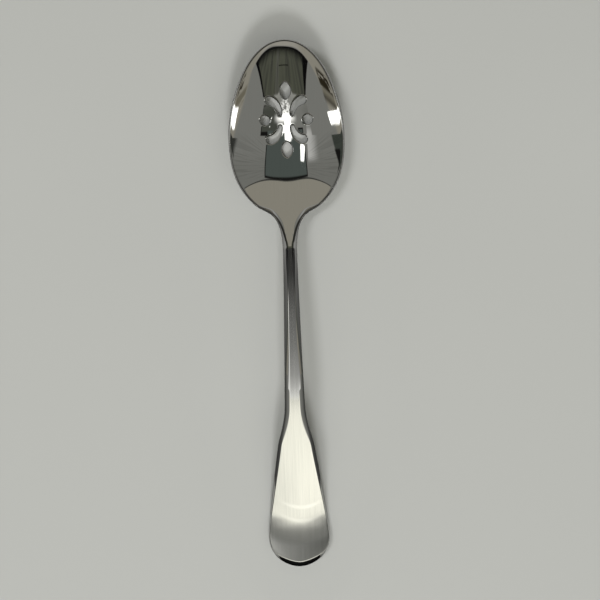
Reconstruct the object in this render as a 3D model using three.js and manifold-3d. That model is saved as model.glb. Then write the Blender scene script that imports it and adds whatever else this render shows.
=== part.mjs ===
// Pierced serving spoon, forged and pressed from one stainless steel blank. Millimetres.
// The origin is the point of the bowl that rests on the table, +Y runs to the bowl's tip, +Z is up.

import * as THREE from 'three';
import { mergeVertices } from 'three/addons/utils/BufferGeometryUtils.js';
import Module from 'manifold-3d';

// Plan outline, from the bowl's tip to the handle's end: lengths along Y, and half widths.
const tipAheadOfRest = 36.5;
const tipToWidest = 39;
const widestToHeel = 27.5;
const heelToNeck = 20;
const neckToShoulder = 63.5;
const shoulderLength = 15;
const shoulderToPaddleWidest = 38.5;
const paddleWidestToEnd = 12.8;
const bowlHalfWidth = 23.7;
const heelHalfWidth = 14;
const neckHalfWidth = 3;
const stemEndHalfWidth = 4.35;
const shoulderHalfWidth = 7.6;
const paddleHalfWidth = 12.7;

// How the outline turns at its stations: its angle to the spoon's axis, in degrees.
const heelAngle = 46;
const stemAngle = 3.4;
const paddleAngle = 9;

// How far each curve of the outline holds its first and its last direction.
const tipReach = [16.2, 13];
const widestReach = [10.8, 11.6];
const heelReach = [6.3, 18.2];
const stemReach = [8, 8];
const shoulderReach = [6, 3.5];
const paddleReach = [6.1, 5.4];
const endReach = [9.6, 4.1];

// Side view: heights of the rim and of the handle's top edge, and the slopes there in degrees.
const bowlDepth = 9.7;
const bowlThickness = 1.5;
const rimRiseAtTip = 0.9;
const rimSlopeAtTip = 2;
const neckAboveRim = 1.2;
const neckSlope = 19;
const facetBeforeNeck = 1.7;
const facetSlope = 7;
const archAboveNeck = 4;
const neckToArch = 50;
const seatBeforeEnd = 16;
const lipRise = 2.2;
const lipSlope = 11.5;
const lipBow = 0.03;
const lipBowLength = 20;
const restFlatCut = 0.12;

// How far the top edge holds its direction: tip to facet, facet to arch, arch to seat, seat to end.
const rimHold = [29, 20];
const riseHold = [16, 12];
const fallHold = [14, 9];
const lipHold = [4, 6];

// The bowl's centre line: its angle at the tip, and how far each part of it stays level or straight.
const bowlTipAngle = 42;
const tipHold = 8;
const floorHold = 17;
const heelFloorHold = 15;
const heelRampHold = 20;

// Section: thickness under the top edge, width of the side wall seen from above, crown of the handle.
const rimThickness = 1.1;
const neckThickness = 3;
const stemThickness = 3.5;
const shoulderThickness = 3.2;
const paddleThickness = 2.6;
const seatThickness = 2.8;
const endThickness = 3;
const rimLand = 0.7;
const neckWall = 1.9;
const stemWall = 2;
const stemEndWall = 2.35;
const shoulderWall = 1.7;
const paddleWall = 0.45;
const endWall = 2.4;
const endWallLength = 8;
const lowerRimInset = 0.15;
const lowerHandleInset = 1;
const handleCrown = 0.35;
const wallRoundness = 0.2;

// Piercing: centre of the pattern ahead of the rest point, and its openings.
const pierceAhead = 5.6;
const almondHalfWidth = 2.2;
const almondHalfLength = 3.5;
const almondFromCentre = 12.05;
const roundHoleRadius = 2.1;
const roundHoleFromCentre = 8.85;
const slotHead = { x: 6.7, y: 8.05, radius: 1.8 };
const slotWaist = { x: 3.2, y: 6.85, radius: 1.4 };
const slotTail = { x: 2.5, y: 2.6, radius: 0.75 };
const punchBelow = 3;
const punchAbove = 14;

// Mesh fineness: rows along each stretch of the outline, spans across the faces and down the wall.
const rowsPerStretch = [20, 14, 14, 26, 9, 12, 14];
const spansAcross = 16;
const spansPerWallHalf = 3;
const arcSteps = 10;
const closedHalfWidth = 1e-6;

const steelColour = 0xb9b9b4;

const tipY = tipAheadOfRest;
const widestY = tipY - tipToWidest;
const heelY = widestY - widestToHeel;
const neckY = heelY - heelToNeck;
const shoulderStartY = neckY - neckToShoulder;
const shoulderEndY = shoulderStartY - shoulderLength;
const paddleWidestY = shoulderEndY - shoulderToPaddleWidest;
const endY = paddleWidestY - paddleWidestToEnd;
const seatY = endY + seatBeforeEnd;
const facetY = neckY + facetBeforeNeck;

const wasm = await Module();
wasm.setup();

// A smooth curve between two points of a plane, given its direction and reach at both of them.
function bend(start, startDirection, end, endDirection, reach) {
  const first = startDirection.clone().normalize().multiplyScalar(reach[0]).add(start);
  const second = endDirection.clone().normalize().multiplyScalar(-reach[1]).add(end);
  return new THREE.CubicBezierCurve(start, first, second, end);
}

// A direction that runs towards the handle, turned away from the -Y axis by an angle in degrees.
function towardsHandle(degrees) {
  const angle = THREE.MathUtils.degToRad(degrees);
  return new THREE.Vector2(Math.sin(angle), -Math.cos(angle));
}

// The right half of the outline as curves of (half width, y).
function outlineCurves() {
  const along = towardsHandle(0);
  const stations = [
    [new THREE.Vector2(0, tipY), new THREE.Vector2(1, 0)],
    [new THREE.Vector2(bowlHalfWidth, widestY), along],
    [new THREE.Vector2(heelHalfWidth, heelY), towardsHandle(-heelAngle)],
    [new THREE.Vector2(neckHalfWidth, neckY), along],
    [new THREE.Vector2(stemEndHalfWidth, shoulderStartY), towardsHandle(stemAngle)],
    [new THREE.Vector2(shoulderHalfWidth, shoulderEndY), towardsHandle(paddleAngle)],
    [new THREE.Vector2(paddleHalfWidth, paddleWidestY), along],
    [new THREE.Vector2(0, endY), new THREE.Vector2(-1, 0)],
  ];
  const reaches = [tipReach, widestReach, heelReach, stemReach, shoulderReach, paddleReach, endReach];
  return reaches.map((reach, i) => bend(...stations[i], ...stations[i + 1], reach));
}

// Points of the outline with their inward normals, one for each row of the mesh.
function outlineRows() {
  const rows = [];
  outlineCurves().forEach((curve, stretch) => {
    const count = rowsPerStretch[stretch];
    const last = stretch === rowsPerStretch.length - 1;
    for (let i = 0; i < count + (last ? 1 : 0); i += 1) {
      const point = curve.getPointAt(i / count);
      const tangent = curve.getTangentAt(i / count);
      const onAxis = point.x < closedHalfWidth;
      rows.push({ point, inward: new THREE.Vector2(onAxis ? 0 : tangent.y, -tangent.x).normalize() });
    }
  });
  return rows;
}

// A value that changes smoothly from station to station, which are [y, value] from tip to end.
function alongSpoon(y, stations) {
  const next = stations.findIndex((station) => station[0] < y);
  if (next === 0) {
    return stations[0][1];
  }
  if (next < 0) {
    return stations[stations.length - 1][1];
  }
  const [fromY, fromValue] = stations[next - 1];
  const [toY, toValue] = stations[next];
  return THREE.MathUtils.lerp(fromValue, toValue, THREE.MathUtils.smoothstep(fromY - y, 0, fromY - toY));
}

// The height of a side-view line at y. Its curves hold (y, z) and run from the tip to the end.
function heightOn(curves, y) {
  const curve = curves.find((candidate) => candidate.v3.x <= y) ?? curves[curves.length - 1];
  let low = 0;
  let high = 1;
  for (let i = 0; i < 40; i += 1) {
    const middle = (low + high) / 2;
    if (curve.getPoint(middle).x > y) {
      low = middle;
    } else {
      high = middle;
    }
  }
  return curve.getPoint(low).y;
}

// A direction in the side view: towards the handle, rising by an angle in degrees.
function rising(degrees) {
  const angle = THREE.MathUtils.degToRad(degrees);
  return new THREE.Vector2(-Math.cos(angle), Math.sin(angle));
}

const floorZ = bowlThickness - restFlatCut;
const rimZ = floorZ + bowlDepth;
const neckZ = rimZ + neckAboveRim;
const archZ = neckZ + archAboveNeck;
const seatZ = seatThickness - restFlatCut;
const archY = neckY - neckToArch;

// The top edge seen from the side: the rim up to the handle's facet, its arch, seat and turned-up lip.
function topEdgeCurves() {
  const tip = new THREE.Vector2(tipY, rimZ + rimRiseAtTip);
  const neck = new THREE.Vector2(facetY, neckZ);
  const arch = new THREE.Vector2(archY, archZ);
  const seat = new THREE.Vector2(seatY, seatZ);
  const end = new THREE.Vector2(endY, seatZ + lipRise);
  return [
    bend(tip, rising(-rimSlopeAtTip), neck, rising(neckSlope), rimHold),
    bend(neck, rising(facetSlope), arch, rising(0), riseHold),
    bend(arch, rising(0), seat, rising(0), fallHold),
    bend(seat, rising(0), end, rising(lipSlope), lipHold),
  ];
}

const topEdge = topEdgeCurves();

// The bowl's centre line from its tip over the floor to the neck, for the inside or the outside.
function keelCurves(tip, floorHeight, neckHeight) {
  const floor = new THREE.Vector2(0, floorHeight);
  const neck = new THREE.Vector2(facetY, neckHeight);
  return [
    bend(tip, rising(-bowlTipAngle), floor, rising(0), [tipHold, floorHold]),
    bend(floor, rising(0), neck, rising(neckSlope), [heelFloorHold, heelRampHold]),
  ];
}

// Thickness at the centre line of the handle, and depth of the side wall under the top edge.
const thicknessStations = [
  [neckY, neckThickness],
  [neckY - neckToShoulder / 4, stemThickness],
  [shoulderStartY, shoulderThickness],
  [shoulderEndY, paddleThickness],
  [seatY, seatThickness],
  [endY, endThickness],
];
const sideDepthStations = [[heelY, rimThickness], ...thicknessStations];
const wallStations = [
  [heelY, rimLand],
  [neckY, neckWall],
  [neckY - neckToShoulder / 4, stemWall],
  [shoulderStartY, stemEndWall],
  [shoulderEndY, shoulderWall],
  [paddleWidestY, paddleWall],
  [endY + endWallLength, paddleWall],
  [endY, endWall],
];
const lowerInsetStations = [
  [heelY, lowerRimInset],
  [neckY, lowerHandleInset],
];

// The lip bends up along a line that is bowed towards the end: the sides follow the side view later.
const bowStations = [
  [shoulderEndY, 0],
  [shoulderEndY - lipBowLength, lipBow],
];

// The height of the top edge at a point of the plan.
function edgeHeight(plan) {
  const bow = alongSpoon(plan.y, bowStations) * plan.x ** 2;
  return heightOn(topEdge, plan.y - bow);
}

// The three lines that bound one side of the section: top edge, widest line and lower edge.
function sectionEdges({ point, inward }) {
  const upper = inward.clone().multiplyScalar(alongSpoon(point.y, wallStations)).add(point);
  const lower = inward.clone().multiplyScalar(alongSpoon(point.y, lowerInsetStations)).add(point);
  const topZ = edgeHeight(upper);
  const lowerZ = edgeHeight(lower) - alongSpoon(point.y, sideDepthStations);
  return {
    upper: new THREE.Vector3(upper.x, upper.y, topZ),
    widest: new THREE.Vector3(point.x, point.y, (topZ + lowerZ) / 2),
    lower: new THREE.Vector3(lower.x, lower.y, lowerZ),
  };
}

// Points of a rounded wall face from one edge to the next, without its first point.
function wallFace(from, to, widest) {
  const corner = new THREE.Vector3(widest.x, widest.y, from === widest ? to.z : from.z);
  const middle = from.clone().add(to).multiplyScalar(0.5);
  const pull = middle.lerp(corner, wallRoundness);
  const curve = new THREE.QuadraticBezierCurve3(from, pull, to);
  return curve.getPoints(spansPerWallHalf).slice(1);
}

// One closed ring of the spoon: over the top face, down the right wall, under, and up the left wall.
function sectionRing(row, centreTop, centreBottom) {
  const { point } = row;
  const { upper, widest, lower } = sectionEdges(row);
  const closed = point.x < closedHalfWidth;
  const topDrop = closed ? 0 : upper.z - centreTop(upper.y, upper.x);
  const bottomDrop = closed ? 0 : lower.z - centreBottom(lower.y);
  const ring = [];
  for (let i = 0; i <= spansAcross; i += 1) {
    const across = (2 * i) / spansAcross - 1;
    ring.push(new THREE.Vector3(across * upper.x, upper.y, upper.z - topDrop * (1 - across ** 2)));
  }
  const wall = [...wallFace(upper, widest, widest), ...wallFace(widest, lower, widest)];
  ring.push(...wall);
  for (let i = 1; i <= spansAcross; i += 1) {
    const across = 1 - (2 * i) / spansAcross;
    ring.push(new THREE.Vector3(across * lower.x, lower.y, lower.z - bottomDrop * (1 - across ** 2)));
  }
  const leftWall = wall.slice(0, -1).reverse();
  ring.push(...leftWall.map((p) => new THREE.Vector3(-p.x, p.y, p.z)));
  return ring;
}

// The blank before it is pierced, as rings joined by quads. Both end rings close on the axis.
function blankGeometry() {
  const rows = outlineRows();
  const tipEdges = sectionEdges(rows[0]);
  const inside = keelCurves(new THREE.Vector2(tipEdges.upper.y, tipEdges.upper.z), floorZ, neckZ);
  const outsideTip = new THREE.Vector2(tipEdges.lower.y, tipEdges.lower.z);
  const outside = keelCurves(outsideTip, -restFlatCut, neckZ - neckThickness);
  const crownRate = handleCrown / paddleHalfWidth ** 2;
  const centreTop = (y, halfWidth) => {
    const crown = crownRate * halfWidth ** 2;
    return y > facetY ? heightOn(inside, y) : heightOn(topEdge, y) + crown;
  };
  const centreBottom = (y) => {
    const handleBottom = heightOn(topEdge, y) - alongSpoon(y, thicknessStations);
    return y > facetY ? heightOn(outside, y) : handleBottom;
  };
  const rings = rows.map((row) => sectionRing(row, centreTop, centreBottom));
  const perRing = rings[0].length;
  const positions = rings.flat().flatMap((p) => [p.x, p.y, p.z]);
  const indices = [];
  for (let r = 0; r < rings.length - 1; r += 1) {
    for (let i = 0; i < perRing; i += 1) {
      const a = r * perRing + i;
      const b = r * perRing + ((i + 1) % perRing);
      indices.push(a, a + perRing, b, b, a + perRing, b + perRing);
    }
  }
  const geometry = new THREE.BufferGeometry();
  geometry.setAttribute('position', new THREE.Float32BufferAttribute(positions, 3));
  geometry.setIndex(indices);
  return geometry;
}

// A pointed almond, of two equal arcs that meet on the spoon's axis.
function almondShape(centreY) {
  const radius = (almondHalfLength ** 2 + almondHalfWidth ** 2) / (2 * almondHalfWidth);
  const spread = Math.asin(almondHalfLength / radius);
  const offset = radius - almondHalfWidth;
  const shape = new THREE.Shape();
  shape.absarc(-offset, centreY, radius, -spread, spread, false);
  shape.absarc(offset, centreY, radius, Math.PI - spread, Math.PI + spread, false);
  return shape;
}

// A comma: a round head and a narrow tail, swept along a bent line. side is 1 or -1, end likewise.
function commaShape(side, end) {
  const at = (p) => new THREE.Vector2(side * p.x, pierceAhead + end * p.y);
  const line = new THREE.QuadraticBezierCurve(at(slotHead), at(slotWaist), at(slotTail));
  const left = [];
  const right = [];
  for (let i = 0; i <= arcSteps; i += 1) {
    const t = i / arcSteps;
    const tangent = line.getTangent(t);
    const ends = THREE.MathUtils.lerp(slotHead.radius, slotTail.radius, t);
    const bulge = 2 * slotWaist.radius - slotHead.radius - slotTail.radius;
    const radius = ends + 2 * t * (1 - t) * bulge;
    const normal = new THREE.Vector2(-tangent.y, tangent.x).multiplyScalar(radius);
    left.push(line.getPoint(t).add(normal));
    right.push(line.getPoint(t).sub(normal));
  }
  const tail = roundEnd(line.getPoint(1), left[arcSteps], -1);
  const head = roundEnd(line.getPoint(0), right[0], -1);
  return new THREE.Shape([...left, ...tail, ...right.reverse(), ...head]);
}

// The points of a half circle about a centre, between a start point and the point opposite it.
function roundEnd(centre, start, turn) {
  const points = [];
  for (let i = 1; i < arcSteps; i += 1) {
    points.push(start.clone().rotateAround(centre, (turn * Math.PI * i) / arcSteps));
  }
  return points;
}

// A round hole through the side of the bowl.
function roundShape(side) {
  const shape = new THREE.Shape();
  shape.absarc(side * roundHoleFromCentre, pierceAhead, roundHoleRadius, 0, 2 * Math.PI, false);
  return shape;
}

// All openings of the pattern, mirrored about the axis and about the centre of the pattern.
function pierceShapes() {
  const signs = [1, -1];
  return [
    ...signs.map((end) => almondShape(pierceAhead + end * almondFromCentre)),
    ...signs.map((side) => roundShape(side)),
    ...signs.flatMap((side) => signs.map((end) => commaShape(side, end))),
  ];
}

// A punch with the outline of one opening, long enough to pass through the bowl.
function punchGeometry(shape) {
  const depth = punchBelow + punchAbove;
  const geometry = new THREE.ExtrudeGeometry(shape, { depth, bevelEnabled: false, curveSegments: arcSteps });
  geometry.translate(0, 0, -punchBelow);
  return geometry;
}

// A block under the table's surface, which leaves the flats that the spoon rests on.
function tableGeometry() {
  const width = 4 * bowlHalfWidth;
  const length = 2 * (tipY - endY);
  const geometry = new THREE.BoxGeometry(width, length, bowlDepth);
  geometry.translate(0, (tipY + endY) / 2, -bowlDepth / 2);
  return geometry;
}

function toManifold(geometry) {
  const bare = geometry.clone();
  bare.deleteAttribute('normal');
  bare.deleteAttribute('uv');
  const merged = mergeVertices(bare, 1e-4);
  const index = Array.from(merged.index.array);
  const kept = [];
  for (let i = 0; i < index.length; i += 3) {
    const [a, b, c] = index.slice(i, i + 3);
    if (a !== b && b !== c && c !== a) {
      kept.push(a, b, c);
    }
  }
  return new wasm.Manifold(new wasm.Mesh({
    numProp: 3,
    vertProperties: merged.attributes.position.array,
    triVerts: new Uint32Array(kept),
  }));
}

function toGeometry(solid) {
  const mesh = solid.getMesh();
  const geometry = new THREE.BufferGeometry();
  geometry.setAttribute('position', new THREE.BufferAttribute(mesh.vertProperties, 3));
  geometry.setIndex(new THREE.BufferAttribute(mesh.triVerts, 1));
  geometry.computeVertexNormals();
  return geometry;
}

function piercedSpoon() {
  const punches = pierceShapes().map((shape) => toManifold(punchGeometry(shape)));
  const cutters = [...punches, toManifold(tableGeometry())];
  const solid = cutters.reduce((rest, cutter) => rest.subtract(cutter), toManifold(blankGeometry()));
  const material = new THREE.MeshStandardMaterial({ color: steelColour, metalness: 1, roughness: 0.22 });
  const mesh = new THREE.Mesh(toGeometry(solid), material);
  mesh.name = 'pierced_spoon';
  return mesh;
}

const spoon = new THREE.Group();
spoon.add(piercedSpoon());

export default spoon;
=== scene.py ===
import math
from functools import partial

import bpy
import numpy as np
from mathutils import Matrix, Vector
from mathutils.geometry import delaunay_2d_cdt


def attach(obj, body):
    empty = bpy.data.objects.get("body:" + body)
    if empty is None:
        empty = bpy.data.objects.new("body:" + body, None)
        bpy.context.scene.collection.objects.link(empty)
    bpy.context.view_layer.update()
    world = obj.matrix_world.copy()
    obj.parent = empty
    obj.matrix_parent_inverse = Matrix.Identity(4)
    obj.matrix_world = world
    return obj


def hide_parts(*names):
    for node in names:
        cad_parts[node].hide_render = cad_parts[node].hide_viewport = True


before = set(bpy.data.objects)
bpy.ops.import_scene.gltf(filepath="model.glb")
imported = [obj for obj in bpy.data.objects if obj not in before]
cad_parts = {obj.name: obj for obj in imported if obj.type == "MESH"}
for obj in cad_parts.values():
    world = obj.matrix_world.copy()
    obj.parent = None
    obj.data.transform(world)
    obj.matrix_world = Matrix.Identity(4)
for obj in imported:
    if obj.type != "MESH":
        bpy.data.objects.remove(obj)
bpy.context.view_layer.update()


# Camera. It looks straight down from above the middle of the spoon, as the photograph does, and is
# turned a little, so that the bowl points slightly to the left. Its scale is set at the mean height
# of the spoon's top surface.
CAMERA_HEIGHT = 0.350
CAMERA_SIDE = 0.0034
CAMERA_BEHIND_REST = 0.0693
CAMERA_TURN = math.radians(-1.82)
SCALE_HEIGHT = 0.012
FRAME_PIXELS = 600
METRES_PER_PIXEL = 0.000404
SENSOR_WIDTH = 36.0
NEAREST_SEEN = 0.01

camera_data = bpy.data.cameras.new("photo_camera")
camera_data.sensor_width = SENSOR_WIDTH
frame_width = FRAME_PIXELS * METRES_PER_PIXEL
camera_data.lens = SENSOR_WIDTH * (CAMERA_HEIGHT - SCALE_HEIGHT) / frame_width
camera_data.clip_start = NEAREST_SEEN
camera = bpy.data.objects.new("photo_camera", camera_data)
bpy.context.collection.objects.link(camera)
camera.location = (CAMERA_SIDE, -CAMERA_BEHIND_REST, CAMERA_HEIGHT)
camera.rotation_euler = (0.0, 0.0, CAMERA_TURN)
bpy.context.scene.camera = camera
bpy.context.scene.view_settings.view_transform = "Standard"


# Plan outline of the spoon, which is one stainless steel blank: its stations from the bowl's tip to
# the handle's end, in millimetres. Each stretch between two stations is one smooth curve.
TIP_AHEAD_OF_REST = 36.5
TIP_TO_WIDEST = 39.0
WIDEST_TO_HEEL = 27.5
HEEL_TO_NECK = 20.0
NECK_TO_SHOULDER = 63.5
SHOULDER_LENGTH = 15.0
SHOULDER_TO_PADDLE_WIDEST = 38.5
PADDLE_WIDEST_TO_END = 12.8
BOWL_HALF_WIDTH = 23.7
HEEL_HALF_WIDTH = 14.0
NECK_HALF_WIDTH = 3.0
STEM_END_HALF_WIDTH = 4.35
SHOULDER_HALF_WIDTH = 7.6
PADDLE_HALF_WIDTH = 12.7
HEEL_ANGLE = 46.0
STEM_ANGLE = 3.4
PADDLE_ANGLE = 9.0
REACHES = [(16.2, 13.0), (10.8, 11.6), (6.3, 18.2), (8.0, 8.0), (6.0, 3.5), (6.1, 5.4), (9.6, 4.1)]
ROWS_PER_STRETCH = [110, 60, 50, 70, 36, 50, 56]
CURVE_SAMPLES = 2000

tip_y = TIP_AHEAD_OF_REST
widest_y = tip_y - TIP_TO_WIDEST
heel_y = widest_y - WIDEST_TO_HEEL
neck_y = heel_y - HEEL_TO_NECK
shoulder_start_y = neck_y - NECK_TO_SHOULDER
shoulder_end_y = shoulder_start_y - SHOULDER_LENGTH
paddle_widest_y = shoulder_end_y - SHOULDER_TO_PADDLE_WIDEST
end_y = paddle_widest_y - PADDLE_WIDEST_TO_END


def bend(start, start_direction, end, end_direction, reach):
    """A smooth curve between two points, as its four control points."""
    start, end = np.array(start), np.array(end)
    leave = np.array(start_direction) / np.linalg.norm(start_direction)
    arrive = np.array(end_direction) / np.linalg.norm(end_direction)
    return np.array([start, start + reach[0] * leave, end - reach[1] * arrive, end])


def curve_points(curve, t):
    """Points of a curve at t, which runs from 0 to 1."""
    t = np.asarray(t)[:, None]
    a, b, c, d = curve
    return (1 - t) ** 3 * a + 3 * t * (1 - t) ** 2 * b + 3 * t ** 2 * (1 - t) * c + t ** 3 * d


def curve_tangents(curve, t):
    """Directions of a curve at t, each of length 1."""
    t = np.asarray(t)[:, None]
    a, b, c, d = curve
    tangent = (1 - t) ** 2 * (b - a) + 2 * t * (1 - t) * (c - b) + t ** 2 * (d - c)
    return tangent / np.linalg.norm(tangent, axis=1)[:, None]


def towards_handle(degrees):
    """Direction in plan towards the handle's end, turned outwards by an angle."""
    angle = math.radians(degrees)
    return (math.sin(angle), -math.cos(angle))


def outline_rows(rows_per_stretch):
    """Points of the outline's right half, evenly spaced in each stretch, and their inward normals."""
    along = towards_handle(0.0)
    stations = [
        ((0.0, tip_y), (1.0, 0.0)),
        ((BOWL_HALF_WIDTH, widest_y), along),
        ((HEEL_HALF_WIDTH, heel_y), towards_handle(-HEEL_ANGLE)),
        ((NECK_HALF_WIDTH, neck_y), along),
        ((STEM_END_HALF_WIDTH, shoulder_start_y), towards_handle(STEM_ANGLE)),
        ((SHOULDER_HALF_WIDTH, shoulder_end_y), towards_handle(PADDLE_ANGLE)),
        ((PADDLE_HALF_WIDTH, paddle_widest_y), along),
        ((0.0, end_y), (-1.0, 0.0)),
    ]
    points, normals = [], []
    for i, (reach, rows) in enumerate(zip(REACHES, rows_per_stretch)):
        curve = bend(*stations[i], *stations[i + 1], reach)
        fine = np.linspace(0.0, 1.0, CURVE_SAMPLES)
        steps = np.linalg.norm(np.diff(curve_points(curve, fine), axis=0), axis=1)
        length = np.concatenate([[0.0], np.cumsum(steps)])
        is_last = i == len(REACHES) - 1
        wanted = np.linspace(0.0, length[-1], rows + 1)[: None if is_last else -1]
        t = np.interp(wanted, length, fine)
        tangents = curve_tangents(curve, t)
        points.append(curve_points(curve, t))
        normals.append(np.stack([tangents[:, 1], -tangents[:, 0]], axis=1))
    points, normals = np.concatenate(points), np.concatenate(normals)
    points[[0, -1], 0] = 0.0
    normals[[0, -1], 0] = 0.0
    return points, normals


# Side view of the spoon, in millimetres: the rim and top edge, the centre line of the bowl inside
# and outside, the thickness along the handle, and the polished side wall. The blank is pressed so
# that it rests on the bowl's floor and on a seat near the handle's end, where the lip turns up.
BOWL_DEPTH = 9.7
BOWL_THICKNESS = 1.5
RIM_RISE_AT_TIP = 0.9
RIM_SLOPE_AT_TIP = 2.0
NECK_ABOVE_RIM = 1.2
NECK_SLOPE = 19.0
FACET_BEFORE_NECK = 1.7
FACET_SLOPE = 7.0
ARCH_ABOVE_NECK = 3.98
NECK_TO_ARCH = 50.0
SEAT_BEFORE_END = 16.0
LIP_RISE = 2.2
LIP_SLOPE = 11.5
LIP_BOW = 0.03
LIP_BOW_LENGTH = 20.0
RIM_HOLD = (29.0, 20.0)
RISE_HOLD = (16.0, 12.0)
FALL_HOLD = (14.0, 9.0)
LIP_HOLD = (4.0, 6.0)
REST_FLAT_CUT = 0.12
BOWL_TIP_ANGLE = 42.0
TIP_HOLD = 8.0
FLOOR_HOLD = 17.0
HEEL_FLOOR_HOLD = 15.0
HEEL_RAMP_HOLD = 20.0
RIM_THICKNESS = 1.1
NECK_THICKNESS = 3.0
STEM_THICKNESS = 3.5
SHOULDER_THICKNESS = 3.2
PADDLE_THICKNESS = 2.6
SEAT_THICKNESS = 2.8
END_THICKNESS = 3.0
RIM_LAND = 0.7
RIM_STEP = 0.12
NECK_WALL = 1.9
STEM_WALL = 2.0
STEM_END_WALL = 2.35
SHOULDER_WALL = 1.7
PADDLE_WALL = 0.45
END_WALL = 2.4
END_WALL_LENGTH = 8.0
LOWER_RIM_INSET = 0.15
LOWER_HANDLE_INSET = 1.0
HANDLE_CROWN = 0.35
TOP_EDGE_RADIUS = 0.3
LOWER_EDGE_RADIUS = 0.35
SIDE_RADIUS = 0.3
LINE_SAMPLES = 1500
DENSE_FACTOR = 20

floor_z = BOWL_THICKNESS - REST_FLAT_CUT
rim_z = floor_z + BOWL_DEPTH
neck_z = rim_z + NECK_ABOVE_RIM
arch_z = neck_z + ARCH_ABOVE_NECK
seat_z = SEAT_THICKNESS - REST_FLAT_CUT
seat_y = end_y + SEAT_BEFORE_END
arch_y = neck_y - NECK_TO_ARCH
facet_y = neck_y + FACET_BEFORE_NECK
stem_y = neck_y - NECK_TO_SHOULDER / 4


def rising(degrees):
    """Direction in the side view towards the handle's end, rising by an angle."""
    angle = math.radians(degrees)
    return (-math.cos(angle), math.sin(angle))


def line_through(curves):
    """A function that gives the height of a side-view line at y."""
    fine = np.linspace(0.0, 1.0, LINE_SAMPLES)
    points = np.concatenate([curve_points(curve, fine) for curve in curves])[::-1]
    return lambda y: np.interp(y, points[:, 0], points[:, 1])


def along_spoon(y, stations):
    """A value that changes smoothly between stations, given as (y, value) from tip to end."""
    y = np.asarray(y, dtype=float)
    value = np.full(y.shape, float(stations[0][1]))
    for (from_y, from_value), (to_y, to_value) in zip(stations, stations[1:]):
        t = np.clip((from_y - y) / (from_y - to_y), 0.0, 1.0)
        value = np.where(y < from_y, from_value + (to_value - from_value) * t * t * (3 - 2 * t), value)
    return value


tip_point = (tip_y, rim_z + RIM_RISE_AT_TIP)
neck_point = (facet_y, neck_z)
arch_point = (arch_y, arch_z)
seat_point = (seat_y, seat_z)
end_point = (end_y, seat_z + LIP_RISE)
edge_height = line_through([
    bend(tip_point, rising(-RIM_SLOPE_AT_TIP), neck_point, rising(NECK_SLOPE), RIM_HOLD),
    bend(neck_point, rising(FACET_SLOPE), arch_point, rising(0.0), RISE_HOLD),
    bend(arch_point, rising(0.0), seat_point, rising(0.0), FALL_HOLD),
    bend(seat_point, rising(0.0), end_point, rising(LIP_SLOPE), LIP_HOLD),
])
thickness_stations = [
    (neck_y, NECK_THICKNESS),
    (stem_y, STEM_THICKNESS),
    (shoulder_start_y, SHOULDER_THICKNESS),
    (shoulder_end_y, PADDLE_THICKNESS),
    (seat_y, SEAT_THICKNESS),
    (end_y, END_THICKNESS),
]
wall_stations = [
    (heel_y, RIM_LAND),
    (neck_y, NECK_WALL),
    (stem_y, STEM_WALL),
    (shoulder_start_y, STEM_END_WALL),
    (shoulder_end_y, SHOULDER_WALL),
    (paddle_widest_y, PADDLE_WALL),
    (end_y + END_WALL_LENGTH, PADDLE_WALL),
    (end_y, END_WALL),
]
side_depth_stations = [(heel_y, RIM_THICKNESS)] + thickness_stations
bow_stations = [(shoulder_end_y, 0.0), (shoulder_end_y - LIP_BOW_LENGTH, LIP_BOW)]
lower_inset_stations = [(heel_y, LOWER_RIM_INSET), (neck_y, LOWER_HANDLE_INSET)]


def bowed_edge_height(plan):
    """Height of the top edge. The lip bends up along a line that is bowed towards the end."""
    return edge_height(plan[:, 1] - along_spoon(plan[:, 1], bow_stations) * plan[:, 0] ** 2)


def section_edges(points, inward):
    """Top edge and lower edge of the side wall for each row, as x, y and z."""
    upper = points + inward * along_spoon(points[:, 1], wall_stations)[:, None]
    lower = points + inward * along_spoon(points[:, 1], lower_inset_stations)[:, None]
    depth = along_spoon(points[:, 1], side_depth_stations)
    upper_z = bowed_edge_height(upper)
    lower_z = bowed_edge_height(lower) - depth
    return np.column_stack([upper, upper_z]), np.column_stack([lower, lower_z])


dense_points, dense_inward = outline_rows([DENSE_FACTOR * rows for rows in ROWS_PER_STRETCH])
dense_upper, dense_lower = section_edges(dense_points, dense_inward)


def keel(tip, floor_height, neck_height):
    """Centre line of the bowl, inside or outside, from its tip over its floor to the neck."""
    floor = (0.0, floor_height)
    neck = (facet_y, neck_height)
    return line_through([
        bend(tip, rising(-BOWL_TIP_ANGLE), floor, rising(0.0), (TIP_HOLD, FLOOR_HOLD)),
        bend(floor, rising(0.0), neck, rising(NECK_SLOPE), (HEEL_FLOOR_HOLD, HEEL_RAMP_HOLD)),
    ])


inside_keel = keel(dense_upper[0, 1:], floor_z, neck_z)
outside_keel = keel(dense_lower[0, 1:], -REST_FLAT_CUT, neck_z - NECK_THICKNESS)


def top_height(x, y):
    """Height of the top surface: the hollow of the bowl, then the slightly crowned handle."""
    half = np.interp(y, dense_upper[::-1, 1], dense_upper[::-1, 0])
    edge = np.interp(y, dense_upper[::-1, 1], dense_upper[::-1, 2])
    crown = HANDLE_CROWN / PADDLE_HALF_WIDTH ** 2 * half ** 2
    centre = np.where(y > facet_y, inside_keel(y), edge_height(y) + crown)
    inner_edge = edge - along_spoon(y, [(heel_y, RIM_STEP), (facet_y, 0.0)])
    return inner_edge - (inner_edge - centre) * (1 - (x / half) ** 2)


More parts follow.
